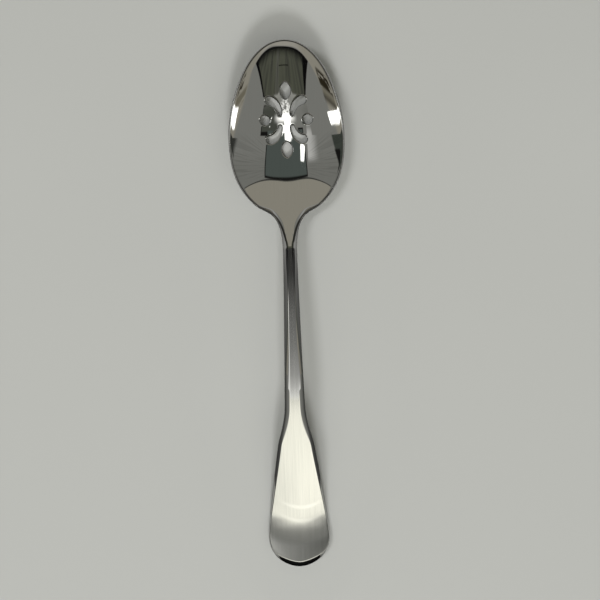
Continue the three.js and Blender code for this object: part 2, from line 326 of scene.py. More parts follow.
def bottom_height(x, y):
    """Height of the underside: the back of the bowl, then the flat back of the handle."""
    half = np.interp(y, dense_lower[::-1, 1], dense_lower[::-1, 0])
    edge = np.interp(y, dense_lower[::-1, 1], dense_lower[::-1, 2])
    handle = edge_height(y) - along_spoon(y, thickness_stations)
    centre = np.where(y > facet_y, outside_keel(y), handle)
    return np.maximum(edge - (edge - centre) * (1 - (x / half) ** 2), 0.0)


# The blank's surface: stamped and forged, then ground and polished, which rounds its edges a little.
# Polished steel shows every facet, so the skin is lofted row by row at a fine pitch. A painted dark
# shade lines the rim's inner corner and the outer edge.
ACROSS_TOP = 64
ACROSS_BOTTOM = 48
EDGE_STEPS = 4
LONGEST_ROUND = 0.4
CORNER_SHADE_LENGTH = 5.0
END_SHADE_LENGTH = 7.0

# How dark the painted shade on the rim's inner corner and the outer edge is, at places along the
# spoon from tip to end, and the part of the corner's shade that each point round it takes.
CORNER_SHADE = [
    (24.0, 1.0), (10.0, 0.25), (0.0, 0.25), (heel_y, 0.7), (neck_y, 0.8),
    (neck_y - CORNER_SHADE_LENGTH, 0.0)]
RIM_SHADE = [
    (24.0, 0.3), (8.0, 0.7), (heel_y, 0.45), (neck_y, 0.4), (seat_y, 0.6),
    (end_y + END_SHADE_LENGTH, 1.0)]
CORNER_STEPS = [0.35, 1.0, 1.0, 0.5, 0.0]


def bezier_row(points, t):
    """Points at t on a Bezier curve for every row: rows by t by xyz."""
    stack = [np.repeat(p[:, None, :], len(t), axis=1) for p in points]
    while len(stack) > 1:
        stack = [a + (b - a) * t[None, :, None] for a, b in zip(stack, stack[1:])]
    return stack[0]


def on_surface(plan, height):
    """Points in plan with their height on the top or the underside."""
    return np.column_stack([plan, height(plan[:, 0], plan[:, 1])])


rows, inward = outline_rows(ROWS_PER_STRETCH)
upper, lower = section_edges(rows, inward)
upper_inner = on_surface(upper[:, :2] + inward * TOP_EDGE_RADIUS, top_height)
lower_inner = on_surface(lower[:, :2] + inward * LOWER_EDGE_RADIUS, bottom_height)
for edge_row in (upper_inner, lower_inner):
    edge_row[[0, -1], 0] = 0.0

widest = np.column_stack([rows, (upper[:, 2] + lower[:, 2]) / 2])


def towards(start, goal, distance):
    """A point at a distance from start towards goal in each row, or nearer where they lie close."""
    gap = np.linalg.norm(goal - start, axis=1)[:, None]
    return start + (goal - start) * np.minimum(distance / gap, LONGEST_ROUND)


edge_steps = np.linspace(0.0, 1.0, EDGE_STEPS + 1)
top_round = bezier_row([upper_inner, upper, towards(upper, widest, TOP_EDGE_RADIUS)], edge_steps)
side_round = bezier_row([
    towards(widest, upper, SIDE_RADIUS), widest, towards(widest, lower, SIDE_RADIUS)], edge_steps)
low_round = bezier_row([towards(lower, widest, LOWER_EDGE_RADIUS), lower, lower_inner], edge_steps)
right_side = np.concatenate([top_round[:, 1:], side_round, low_round[:, :-1]], axis=1)
left_side = right_side[:, ::-1] * np.array([-1.0, 1.0, 1.0])


def face_row(edge, height, steps, sign):
    """Points across the top or the underside between an edge and its mirror image."""
    across = sign * np.linspace(-1.0, 1.0, steps + 1)
    x = edge[:, :1] * across[None, :]
    y = np.repeat(edge[:, 1:2], steps + 1, axis=1)
    z = height(x.ravel(), y.ravel()).reshape(x.shape)
    z[[0, -1]] = edge[[0, -1], 2:3]
    return np.stack([x, y, z], axis=2)


top_face = face_row(upper_inner, top_height, ACROSS_TOP, 1.0)
bottom_face = face_row(lower_inner, bottom_height, ACROSS_BOTTOM, -1.0)
rings = np.concatenate([top_face, right_side, bottom_face, left_side], axis=1)
rings[..., 2] = np.maximum(rings[..., 2], 0.0)
ring_size = rings.shape[1]
bottom_start = ACROSS_TOP + 1 + right_side.shape[1]

corner_shade = np.zeros(rings.shape[:2])
edge_shade = along_spoon(rows[:, 1], CORNER_SHADE)[:, None] * CORNER_STEPS
rim_shade = along_spoon(rows[:, 1], RIM_SHADE)
corner_shade[:, ACROSS_TOP:ACROSS_TOP + EDGE_STEPS + 1] = edge_shade
corner_shade[:, [0, *range(ring_size - 1, ring_size - EDGE_STEPS - 1, -1)]] = edge_shade
for step in range(1, EDGE_STEPS + 2):
    corner_shade[:, ACROSS_TOP + EDGE_STEPS + step] = rim_shade
    corner_shade[:, ring_size - EDGE_STEPS - step] = rim_shade


# Piercing: a pattern of two almonds, two round holes and four commas, punched through the bowl. The
# punch rolls the metal over a little round each opening, which loops at growing distances from the
# hole give. A painted dark shade lines the edge itself.
PIERCE_AHEAD = 5.6
ALMOND_HALF_WIDTH = 2.2
ALMOND_HALF_LENGTH = 3.5
ALMOND_FROM_CENTRE = 12.05
ROUND_HOLE_RADIUS = 2.1
ROUND_HOLE_FROM_CENTRE = 8.85
SLOT_HEAD = (6.7, 8.05, 1.8)
SLOT_WAIST = (3.2, 6.85, 1.4)
SLOT_TAIL = (2.5, 2.6, 0.75)
HOLE_EDGE_RADIUS = 0.14
HOLE_EDGE_MARGIN = 0.2
ROLL_WIDTH = 0.3
ROLL_DROP = 0.08
ROLL_STEPS = 4
HOLE_EDGE_STEPS = 4
ARC_POINTS = 28
CIRCLE_POINTS = 48
COMMA_LINE_POINTS = 31
COMMA_CAP_POINTS = 11
HOLE_SHADE = 0.8
PATCH_FRONT = 22.0
PATCH_BACK = -11.0
PATCH_HALF_WIDTH = 12.5
SAME_POINT = 1e-6
MILLIMETRE = 0.001
MERGE_DISTANCE = 1e-7


def almond_loop(end, grow):
    """Two arcs that meet in points, ahead of or behind the pattern's centre."""
    radius = (ALMOND_HALF_LENGTH ** 2 + ALMOND_HALF_WIDTH ** 2) / (2 * ALMOND_HALF_WIDTH)
    offset = radius - ALMOND_HALF_WIDTH
    spread = math.acos(offset / (radius + grow))
    angle = np.linspace(-spread, spread, ARC_POINTS + 1)[:-1]
    arc = np.column_stack([(radius + grow) * np.cos(angle) - offset, (radius + grow) * np.sin(angle)])
    return np.concatenate([arc, -arc]) + (0.0, PIERCE_AHEAD + end * ALMOND_FROM_CENTRE)


def round_loop(side, grow):
    """A circle to the right or left of the pattern's centre."""
    angle = np.linspace(0.0, 2 * math.pi, CIRCLE_POINTS + 1)[:-1]
    circle = np.column_stack([np.cos(angle), np.sin(angle)]) * (ROUND_HOLE_RADIUS + grow)
    return circle + (side * ROUND_HOLE_FROM_CENTRE, PIERCE_AHEAD)


def comma_loop(side, end, grow):
    """A round head and a narrow tail, swept along a bent line."""
    head, waist, tail = (np.array(p) for p in (SLOT_HEAD, SLOT_WAIST, SLOT_TAIL))
    t = np.linspace(0.0, 1.0, COMMA_LINE_POINTS)[:, None]
    line = (1 - t) ** 2 * head[:2] + 2 * t * (1 - t) * waist[:2] + t ** 2 * tail[:2]
    tangent = 2 * (1 - t) * (waist - head)[:2] + 2 * t * (tail - waist)[:2]
    tangent /= np.linalg.norm(tangent, axis=1)[:, None]
    normal = np.column_stack([-tangent[:, 1], tangent[:, 0]])
    bulge = 2 * waist[2] - head[2] - tail[2]
    radius = (1 - t) * head[2] + t * tail[2] + 2 * t * (1 - t) * bulge + grow
    left, right = line + normal * radius, line - normal * radius
    turn = np.linspace(0.0, math.pi, COMMA_CAP_POINTS + 2)[1:-1, None]
    tail_end = line[-1] + radius[-1] * (normal[-1] * np.cos(turn) + tangent[-1] * np.sin(turn))
    head_end = line[0] - radius[0] * (normal[0] * np.cos(turn) + tangent[0] * np.sin(turn))
    loop = np.concatenate([left, tail_end, right[::-1], head_end])
    return loop * (side, end) + (0.0, PIERCE_AHEAD)


hole_loops = [partial(almond_loop, end) for end in (1, -1)]
hole_loops += [partial(round_loop, side) for side in (1, -1)]
hole_loops += [partial(comma_loop, side, end) for side in (1, -1) for end in (1, -1)]
edge_angles = np.radians(np.linspace(90.0, 0.0, HOLE_EDGE_STEPS + 1))
edge_grows = [HOLE_EDGE_RADIUS * (1 - math.sin(a)) for a in edge_angles]
edge_drops = [HOLE_EDGE_RADIUS * (1 - math.cos(a)) + ROLL_DROP for a in edge_angles]
for step in range(1, ROLL_STEPS + 1):
    edge_grows.append(HOLE_EDGE_RADIUS + ROLL_WIDTH * step / ROLL_STEPS)
    edge_drops.append(ROLL_DROP * (1 - step / ROLL_STEPS) ** 2)


def inside_loop(points, loop):
    """Which points lie inside a closed loop, by counting crossings."""
    inside = np.zeros(len(points), dtype=bool)
    for a, b in zip(loop, np.roll(loop, -1, axis=0)):
        crosses = (a[1] > points[:, 1]) != (b[1] > points[:, 1])
        at = a[0] + (points[:, 1] - a[1]) * (b[0] - a[0]) / (b[1] - a[1] if b[1] != a[1] else 1.0)
        inside ^= crosses & (points[:, 0] < at)
    return inside


vertices = rings.reshape(-1, 3).tolist()
shades = corner_shade.ravel().tolist()
faces = []
satin_faces = []


def ring_index(row, column):
    """Number of the vertex at a row and a column of the rings."""
    return row * ring_size + column % ring_size


def pierced_patch(first_column, steps, height, drop_sign):
    """Fills a part of one face with triangles that leave the holes open, and gives their rims."""
    columns = range(first_column, first_column + steps + 1)
    at_y = rings[:, first_column, 1]
    lines = [r for r in range(len(rows)) if PATCH_BACK <= at_y[r] <= PATCH_FRONT]
    keep = [c for c in columns if abs(rings[lines[0], c, 0]) <= PATCH_HALF_WIDTH]
    c0, c1, r0, r1 = keep[0], keep[-1], lines[0], lines[-1]
    border = [ring_index(r0, c) for c in range(c0, c1)]
    border += [ring_index(r, c1) for r in range(r0, r1)]
    border += [ring_index(r1, c) for c in range(c1, c0, -1)]
    border += [ring_index(r, c0) for r in range(r1, r0, -1)]
    inner = np.array([ring_index(r, c) for r in range(r0 + 1, r1) for c in range(c0 + 1, c1)])
    plan = np.array(vertices)[:, :2]
    for loop in hole_loops:
        inner = inner[~inside_loop(plan[inner], loop(edge_grows[-1] + HOLE_EDGE_MARGIN))]
    ids = border + inner.tolist()
    edges = [(i, (i + 1) % len(border)) for i in range(len(border))]
    rims = []
    for loop in hole_loops:
        for grow, drop in zip(edge_grows, edge_drops):
            at = loop(grow)
            z = height(at[:, 0], at[:, 1]) + drop_sign * drop
            start = len(ids)
            ids += range(len(vertices), len(vertices) + len(at))
            vertices.extend(np.column_stack([at, z]).tolist())
            shades.extend([HOLE_SHADE if grow <= HOLE_EDGE_RADIUS else 0.0] * len(at))
            edges += [(start + i, start + (i + 1) % len(at)) for i in range(len(at))]
            if grow == edge_grows[0]:
                rims.append(ids[start:])
    plan = [vertices[i][:2] for i in ids]
    found = delaunay_2d_cdt(plan, edges, [], 0, SAME_POINT, True)
    source = [ids[origin[0]] for origin in found[3]]
    triangles = np.array([[source[i] for i in face] for face in found[2]])
    centres = np.array(vertices)[:, :2][triangles].mean(axis=1)
    outline = np.array([vertices[i][:2] for i in border])
    wanted = inside_loop(centres, outline)
    for loop in hole_loops:
        wanted &= ~inside_loop(centres, loop(0.0))
    up = -drop_sign
    for a, b, c in triangles[wanted].tolist():
        pa, pb, pc = (vertices[i] for i in (a, b, c))
        turn = (pb[0] - pa[0]) * (pc[1] - pa[1]) - (pb[1] - pa[1]) * (pc[0] - pa[0])
        faces.append((a, b, c) if turn * up > 0 else (a, c, b))
    return set((r, c) for r in range(r0, r1) for c in range(c0, c1)), rims


open_top, top_rims = pierced_patch(0, ACROSS_TOP, top_height, -1)
open_bottom, bottom_rims = pierced_patch(bottom_start, ACROSS_BOTTOM, bottom_height, 1)
opened = open_top | open_bottom
for r in range(len(rows) - 1):
    for c in range(ring_size):
        if (r, c) in opened:
            continue
        if c < ACROSS_TOP and rings[r, c, 1] < facet_y:
            satin_faces.append(len(faces))
        faces.append((
            ring_index(r, c), ring_index(r + 1, c), ring_index(r + 1, c + 1), ring_index(r, c + 1)))
for top_rim, bottom_rim in zip(top_rims, bottom_rims):
    for i in range(len(top_rim)):
        n = (i + 1) % len(top_rim)
        faces.append((top_rim[i], top_rim[n], bottom_rim[n], bottom_rim[i]))

spoon_mesh = bpy.data.meshes.new("spoon")
spoon_mesh.from_pydata((np.array(vertices) * MILLIMETRE).tolist(), [], faces)
is_satin = np.zeros(len(faces), dtype=np.int32)
is_satin[satin_faces] = 1
spoon_mesh.polygons.foreach_set("material_index", is_satin)
spoon_mesh.attributes.new("corner_shade", "FLOAT", "POINT").data.foreach_set("value", shades)
spoon = bpy.data.objects.new("spoon", spoon_mesh)
bpy.context.collection.objects.link(spoon)
bpy.ops.object.select_all(action="DESELECT")
spoon.select_set(True)
bpy.context.view_layer.objects.active = spoon
bpy.ops.object.mode_set(mode="EDIT")
bpy.ops.mesh.select_all(action="SELECT")
bpy.ops.mesh.remove_doubles(threshold=MERGE_DISTANCE)
bpy.ops.mesh.normals_make_consistent(inside=False)
bpy.ops.object.mode_set(mode="OBJECT")
bpy.ops.object.shade_smooth()


# Steel grain, a shared pattern of both finishes: streaks that are much longer than they are wide,
# as a belt or a wiping cloth leaves them, and the slow waviness of pressed sheet.
STREAK_DETAIL = 4.0
STREAK_ROUGHNESS = 0.6
WAVE_DETAIL = 1.0
PRESS_WAVE = 0.011
MIDDLE_RANGE = (0.3, 0.7)


def feed(tree, socket, value):
    """Links another node's socket to an input, or sets the input to a number or a colour."""
    if isinstance(value, bpy.types.NodeSocket):
        tree.links.new(value, socket)
    elif socket.type == "RGBA":
        socket.default_value = (*value[:3], 1.0)
    else:
        socket.default_value = value


def add_node(tree, kind, **values):
    """A node. Values with small names are its settings, and those with capitals are its inputs."""
    node = tree.nodes.new(kind)
    for name, value in values.items():
        if name.islower():
            setattr(node, name, value)
        else:
            feed(tree, node.inputs[name.replace("_", " ")], value)
    return node


def math_node(tree, operation, *values):
    """The result of one calculation with numbers or sockets."""
    node = add_node(tree, "ShaderNodeMath", operation=operation)
    for socket, value in zip(node.inputs, values):
        feed(tree, socket, value)
    return node.outputs[0]


def product(tree, first, *others):
    """Numbers or sockets, multiplied in turn."""
    for other in others:
        first = math_node(tree, "MULTIPLY", first, other)
    return first


def remap(tree, value, from_min, from_max, to_min=0.0, to_max=1.0, curve="LINEAR"):
    """Maps one range of a value to another, and holds it at the ends."""
    node = add_node(
        tree, "ShaderNodeMapRange", interpolation_type=curve, Value=value,
        From_Min=from_min, From_Max=from_max, To_Min=to_min, To_Max=to_max)
    return node.outputs["Result"]


def places(tree, coordinates="Object"):
    """The places that a material is painted over."""
    return add_node(tree, "ShaderNodeTexCoord").outputs[coordinates]


def separate(tree, vector):
    """X, Y and Z of a vector."""
    return list(add_node(tree, "ShaderNodeSeparateXYZ", Vector=vector).outputs)


def combine(tree, x, y, z=0.0):
    """A vector from X, Y and Z."""
    return add_node(tree, "ShaderNodeCombineXYZ", X=x, Y=y, Z=z).outputs["Vector"]


def noise(tree, vector, detail, scale=1.0, roughness=0.5):
    """A noise over the places that a vector gives."""
    node = add_node(
        tree, "ShaderNodeTexNoise", Vector=vector, Scale=scale, Detail=detail, Roughness=roughness)
    return node.outputs["Fac"]


grain = bpy.data.node_groups.new("steel_grain", "ShaderNodeTree")
for name, kind in (("Vector", "Vector"), ("Width", "Float"), ("Length", "Float"), ("Wave Size", "Float")):
    grain.interface.new_socket(name, in_out="INPUT", socket_type="NodeSocket" + kind)
for name in ("Streak", "Wave"):
    grain.interface.new_socket(name, in_out="OUTPUT", socket_type="NodeSocketFloat")
grain_in = grain.nodes.new("NodeGroupInput")
grain_out = grain.nodes.new("NodeGroupOutput")
stretched = combine(grain, *[
    math_node(grain, "DIVIDE", part, grain_in.outputs[size])
    for part, size in zip(separate(grain, grain_in.outputs["Vector"]), ("Width", "Length", "Length"))])
wave_scale = math_node(grain, "DIVIDE", 1.0, grain_in.outputs["Wave Size"])
streak = noise(grain, stretched, STREAK_DETAIL, roughness=STREAK_ROUGHNESS)
wave = noise(grain, grain_in.outputs["Vector"], WAVE_DETAIL, wave_scale)
grain.links.new(streak, grain_out.inputs["Streak"])
grain.links.new(wave, grain_out.inputs["Wave"])


def grain_node(tree, vector, width, length):
    """The streaks, with a width and a length, and the waves of the steel grain in a material."""
    node = add_node(
        tree, "ShaderNodeGroup", node_tree=grain, Vector=vector, Width=width, Length=length,
        Wave_Size=PRESS_WAVE)
    return node.outputs["Streak"], node.outputs["Wave"]


def spread(tree, value, low, high):
    """Maps the middle range of a noise to the range from low to high."""
    return remap(tree, value, *MIDDLE_RANGE, low, high)


# Mirror finish of the bowl, the side walls and the back: stainless steel, buffed on soft wheels. It
# keeps faint hairlines from use, which fan out low in the bowl, and the press's slight waviness. A
# painted dark shade lines the rim's inner corner, the outer edges and the openings' edges.
HAIRLINE_WIDTH = 0.00009
HAIRLINE_LENGTH = 0.009
HAIRLINE_DEPTH = 1.5e-7
PRESS_WAVE_DEPTH = 0.00002
POLISHED_ROUGHNESS = (0.012, 0.035)
FAN_FROM = -0.0135
FAN_SPACING = 0.045
FAN_LENGTH = 0.012
FAN_DETAIL = 3.0
FAN_FRONT = (-0.002, 0.004)
FAN_BACK = (-0.0185, 0.0015)
FAN_SIDE = (0.009, 0.002)
FAN_LINES = (0.55, 0.07)
STEEL_PALE = (0.640, 0.638, 0.622)
STEEL_DEEP = (0.600, 0.598, 0.580)
STEEL_FAN = (0.535, 0.533, 0.517)
STEEL_PAINTED_SHADE = (0.012, 0.012, 0.010)


def step_up(tree, value, at, softness):
    """Rises smoothly from 0 to 1 around a value."""
    return remap(tree, value, at - softness, at + softness, curve="SMOOTHSTEP")


def step_down(tree, value, at, softness):
    """Falls smoothly from 1 to 0 around a value."""
    return math_node(tree, "SUBTRACT", 1.0, step_up(tree, value, at, softness))


def paint_over(tree, below, colour, cover):
    """Lays a colour over what is below where the cover is 1."""
    mix = add_node(tree, "ShaderNodeMix", data_type="RGBA", Factor=cover, A=below, B=colour)
    return mix.outputs["Result"]


def steel_finish(name):
    """A bare steel material of the spoon: its tree, its shader and the places it covers."""
    material = bpy.data.materials.new(name)
    material.use_nodes = True
    spoon_mesh.materials.append(material)
    tree = material.node_tree
    shader = tree.nodes["Principled BSDF"]
    shader.inputs["Metallic"].default_value = 1.0
    return tree, shader, places(tree)


tree, shader, at = steel_finish("polished_steel")
hairlines, waves = grain_node(tree, at, HAIRLINE_WIDTH, HAIRLINE_LENGTH)
x, y, _ = separate(tree, at)
off_middle = math_node(tree, "ABSOLUTE", x)
fan_angle = math_node(tree, "ARCTAN2", math_node(tree, "SUBTRACT", y, FAN_FROM), off_middle)
fan_places = combine(
    tree, math_node(tree, "DIVIDE", fan_angle, FAN_SPACING),
    math_node(tree, "DIVIDE", off_middle, FAN_LENGTH), x)
fan = noise(tree, fan_places, FAN_DETAIL)
in_fan = product(
    tree, step_down(tree, y, *FAN_FRONT), step_up(tree, y, *FAN_BACK),
    step_up(tree, off_middle, *FAN_SIDE), step_up(tree, fan, *FAN_LINES))
steel = paint_over(tree, STEEL_DEEP, STEEL_PALE, spread(tree, hairlines, 0.0, 1.0))
steel = paint_over(tree, steel, STEEL_FAN, in_fan)
# Painted shade: the corner_shade attribute darkens the rim's corner, the outer edges and the openings.
painted_shade = add_node(tree, "ShaderNodeAttribute", attribute_name="corner_shade").outputs["Fac"]
steel = paint_over(tree, steel, STEEL_PAINTED_SHADE, painted_shade)
roughness = spread(tree, hairlines, *POLISHED_ROUGHNESS)
wavy = add_node(tree, "ShaderNodeBump", Strength=1.0, Distance=PRESS_WAVE_DEPTH, Height=waves)
lined = add_node(
    tree, "ShaderNodeBump", Strength=1.0, Distance=HAIRLINE_DEPTH, Height=hairlines,
    Normal=wavy.outputs["Normal"])
tree.links.new(steel, shader.inputs["Base Color"])
tree.links.new(roughness, shader.inputs["Roughness"])
tree.links.new(lined.outputs["Normal"], shader.inputs["Normal"])


# Satin finish of the handle's face: brushed lengthwise with an abrasive belt, so highlights spread
# across the handle and streaks run along it. Two faint pale bows near the end are painted highlights.
BRUSH_WIDTH = 0.00016
BRUSH_LENGTH = 0.014
BRUSH_SHARE = 0.6
BRUSH_DEPTH = 1.0e-6
BAND_WIDTH = 0.0011
BAND_LENGTH = 0.060
SATIN_ROUGHNESS = (0.19, 0.27)
SATIN_STRETCH = 0.75
SATIN_PALE = (0.680, 0.678, 0.660)
SATIN_DEEP = (0.560, 0.560, 0.540)
SATIN_PAINTED_HIGHLIGHT = (0.712, 0.710, 0.692)
BOWS = [-0.1549, -0.1609]
BOW_CURVE = 38.0
BOW_MIDDLE = 0.0015
BOW_HALF_WIDTH = 0.0007
BOW_REACH = (0.0070, 0.0040)
PLAN_MAP_SIZE = 0.25

tree, shader, at = steel_finish("satin_steel")
shader.inputs["Anisotropic"].default_value = SATIN_STRETCH
brushing, _ = grain_node(tree, at, BRUSH_WIDTH, BRUSH_LENGTH)
bands, _ = grain_node(tree, at, BAND_WIDTH, BAND_LENGTH)
streaks = math_node(
    tree, "ADD", product(tree, brushing, BRUSH_SHARE), product(tree, bands, 1.0 - BRUSH_SHARE))
steel = paint_over(tree, SATIN_DEEP, SATIN_PALE, spread(tree, streaks, 0.0, 1.0))
x, y, _ = separate(tree, at)
off_middle = math_node(tree, "SUBTRACT", x, BOW_MIDDLE)
bowed = math_node(tree, "MULTIPLY_ADD", product(tree, off_middle, off_middle), -BOW_CURVE, y)
within = step_down(tree, math_node(tree, "ABSOLUTE", off_middle), *BOW_REACH)
for bow in BOWS:
    off_bow = math_node(tree, "ABSOLUTE", math_node(tree, "SUBTRACT", bowed, bow))
    on_bow = step_down(tree, off_bow, BOW_HALF_WIDTH, BOW_HALF_WIDTH)
    steel = paint_over(tree, steel, SATIN_PAINTED_HIGHLIGHT, product(tree, on_bow, within))
roughness = spread(tree, streaks, *SATIN_ROUGHNESS)
brushed = add_node(tree, "ShaderNodeBump", Strength=1.0, Distance=BRUSH_DEPTH, Height=streaks)
across = add_node(tree, "ShaderNodeTangent", direction_type="UV_MAP", uv_map="plan")
tree.links.new(steel, shader.inputs["Base Color"])
tree.links.new(roughness, shader.inputs["Roughness"])
tree.links.new(brushed.outputs["Normal"], shader.inputs["Normal"])
tree.links.new(across.outputs["Tangent"], shader.inputs["Tangent"])

plan_map = spoon_mesh.uv_layers.new(name="plan")
corner_vertices = np.empty(len(spoon_mesh.loops), dtype=np.int32)
spoon_mesh.loops.foreach_get("vertex_index", corner_vertices)
vertex_places = np.empty(len(spoon_mesh.vertices) * 3)
spoon_mesh.vertices.foreach_get("co", vertex_places)
plan_places = vertex_places.reshape(-1, 3)[corner_vertices, :2] / PLAN_MAP_SIZE + 0.5
plan_map.uv.foreach_set("vector", plan_places.ravel())

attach(spoon, "root")
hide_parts("pierced_spoon")


# Table: a wide flat board with a plain, matt coat of pale grey paint. The spoon stands on it, on the
# flat under its bowl and the one under its handle's end.
TABLE_SIZE = 12.0
TABLE_GAP = 0.0001
TABLE_GREY = (0.492, 0.499, 0.489)
TABLE_ROUGHNESS = 0.7

bpy.ops.mesh.primitive_plane_add(size=TABLE_SIZE, location=(0.0, 0.0, -TABLE_GAP))
bpy.ops.object.transform_apply(location=True, rotation=False, scale=False)
table = bpy.context.object
table.name = "table"
paint = bpy.data.materials.new("table_paint")
paint.use_nodes = True
shader = paint.node_tree.nodes["Principled BSDF"]
shader.inputs["Base Color"].default_value = (*TABLE_GREY, 1.0)
shader.inputs["Roughness"].default_value = TABLE_ROUGHNESS
table.data.materials.append(paint)


# Room: grey walls that turn beige past a curved seam, a dark window high over the bowl's tip, and soft
# boxes over the handle, all for the steel to mirror. A panel lies between two sideways and two
# lengthwise angles from straight up, in degrees, which are positive to +X and to +Y, past the tip.
WALL_GREY = (0.255, 0.257, 0.240)
CORNER_GREY = (0.205, 0.207, 0.190)
FAR_GREY = (0.225, 0.227, 0.210)
BEIGE = (0.350, 0.332, 0.280)
SEAM_DARK = (0.050, 0.050, 0.045)
SMOKE = (0.098, 0.116, 0.107)
SIDE_DARK = (0.130, 0.134, 0.122)
TEAL_DARK = (0.060, 0.069, 0.059)
OLIVE_DARK = (0.045, 0.047, 0.042)
PANE_DARK = (0.082, 0.088, 0.074)
NEAR_BLACK = (0.012, 0.012, 0.011)
BOX_RIM = (0.750, 0.745, 0.680)
BOX = (1.48, 1.46, 1.29)
BOX_LEFT = (1.27, 1.26, 1.12)
BOX_RIGHT = (1.62, 1.59, 1.40)
SEAM_AT = 33.2
SEAM_WIDTH = 0.7
SEAM_CURVE = 2.3e-6
SEAM_POWER = 4.0
SEAM_SOFTNESS = 0.25
HORIZON = (0.03, 0.01)
DIFFUSE_SHARE = 0.90
WALL_PANELS = [
    (CORNER_GREY, -62.0, -28.0, -16.0, 8.0, 7.0),
    (FAR_GREY, -62.0, 62.0, 24.0, 60.0, 7.0),
]
PANELS = [
    (TEAL_DARK, -80.0, -56.5, 3.0, 40.0, 0.8),
    (OLIVE_DARK, 59.8, 80.0, 4.0, 26.0, 2.0),
    (NEAR_BLACK, -60.5, -56.0, 21.5, 40.0, 0.6),
    (NEAR_BLACK, 14.0, 35.2, -6.0, 12.0, 0.4),
    (NEAR_BLACK, -24.6, 27.2, 8.0, 33.0, 0.4),
    (PANE_DARK, 14.5, 34.2, -5.0, 9.5, 0.4),
    (SMOKE, -23.6, 26.2, 9.0, 31.9, 0.4),
    (BOX_RIM, -60.0, 60.0, -60.0, -15.0, 14.0),
    (BOX, -60.0, 60.0, -60.0, -28.5, 5.5),
    (BOX_LEFT, -60.0, -5.5, -60.0, -36.5, 3.0),
    (BOX_RIGHT, -4.0, 40.0, -60.0, -38.6, 1.6),
    (NEAR_BLACK, -100.0, 100.0, -100.0, -62.0, 1.5),
    (SIDE_DARK, -100.0, -76.0, -100.0, 100.0, 1.5),
    (SIDE_DARK, 76.0, 100.0, -100.0, 100.0, 1.5),
]

room = bpy.data.worlds.new("room")
bpy.context.scene.world = room
room.use_nodes = True
sky = room.node_tree
x, y, z = separate(sky, places(sky, "Generated"))
sideways, lengthwise = [
    math_node(sky, "DEGREES", math_node(sky, "ARCTAN2", side, z)) for side in (x, y)]


def between(tree, value, low, high, softness):
    """1 between two values and 0 outside them."""
    return product(tree, step_up(tree, value, low, softness), step_down(tree, value, high, softness))


def window(tree, x, y, left, right, low, high, softness):
    """1 inside a rectangle and 0 outside it."""
    return product(tree, between(tree, x, left, right, softness), between(tree, y, low, high, softness))


def paint_panels(light, panels):
    """Paints each panel over the sky's light so far."""
    for colour, *sides_and_softness in panels:
        light = paint_over(sky, light, colour, window(sky, sideways, lengthwise, *sides_and_softness))
    return light


seam_rise = product(
    sky, math_node(sky, "POWER", math_node(sky, "ABSOLUTE", sideways), SEAM_POWER), SEAM_CURVE)
past_seam = math_node(sky, "SUBTRACT", lengthwise, seam_rise)
on_seam = between(sky, past_seam, SEAM_AT - SEAM_WIDTH, SEAM_AT, SEAM_SOFTNESS)
light = paint_panels(WALL_GREY, WALL_PANELS)
light = paint_over(sky, light, BEIGE, step_up(sky, past_seam, SEAM_AT, SEAM_SOFTNESS))
light = paint_over(sky, light, SEAM_DARK, on_seam)
light = paint_panels(light, PANELS)
light = paint_over(sky, light, TABLE_GREY, step_down(sky, z, *HORIZON))
sky.links.new(light, sky.nodes["Background"].inputs["Color"])
rays = add_node(sky, "ShaderNodeLightPath")
seen = math_node(sky, "MAXIMUM", rays.outputs["Is Camera Ray"], rays.outputs["Is Glossy Ray"])
strength = remap(sky, seen, 0.0, 1.0, DIFFUSE_SHARE, 1.0)
sky.links.new(strength, sky.nodes["Background"].inputs["Strength"])


# Dark cloth: it hangs over the neck of the spoon and keeps the front soft box out of the bowl. The
# bowl mirrors its olive folds, its black hems and the paler wall beside it. Only reflections see it.
# A pair for an edge is its place and its softness, and for a hem its place and its slant.
CLOTH_HEIGHT = 0.070
CLOTH_SIDE = 0.220
CLOTH_BACK = 0.014
CLOTH_FRONT = -0.110
OLIVE = (0.104, 0.109, 0.082)
OLIVE_DEEP = (0.062, 0.064, 0.053)
OLIVE_PALE = (0.125, 0.127, 0.108)
HEM_BLACK = (0.005, 0.005, 0.005)
PALE_WALL = (0.430, 0.412, 0.365)
BROWN = (0.030, 0.025, 0.015)
BROWN_PALE = (0.200, 0.185, 0.140)
RIGHT_HEM = ((0.0430, 1.36), (0.0405, 1.16))
LEFT_HEM = ((0.0405, 1.06), (0.0375, 0.50))
HEM_EDGE = (0.0, 0.0006)
INNER_HEM_EDGE = (0.0, 0.0010)
FOOT_DEPTH = 0.052
FOOT_BOW = 3.6
FOOT_MIDDLE = 0.012
FOOT_EDGE = (0.0, 0.0015)
FOOT_SHADE = (-0.016, 0.014)
FOLDS = (0.006, 0.050, 2.0)
FOLD_TOPS = (0.46, 0.14)
PALE_FOLD = (0.0115, 0.0175, 0.0015)
PALE_FOLD_TOPS = (0.40, 0.12)
DASH = (-0.0095, 0.0120, -0.0136, -0.0127, 0.0004)
GAP_SIDE = (0.037, 0.0008)
GAP_FRONT = (0.003, 0.0006)
WALL_SIDE = (0.098, 0.006)
WALL_FRONT = (0.0, 0.002)
PALE_FRONT = (0.003, 0.004)
PALE_SIDE = (0.060, 0.020)
BLOTS = (0.030, 0.006, 3.0)
BLOT_TOPS = (0.40, 0.05)
BROWN_SOFTNESS = 0.003
BROWN_SPOTS = [
    (-0.150, -0.094, -0.0270, -0.0105, BROWN),
    (-0.146, -0.096, -0.0100, -0.0055, BROWN_PALE),
    (-0.140, -0.094, -0.0060, -0.0030, BROWN),
    (0.128, 0.168, -0.0320, -0.0160, BROWN),
    (0.100, 0.156, -0.0140, -0.0050, BROWN_PALE),
]


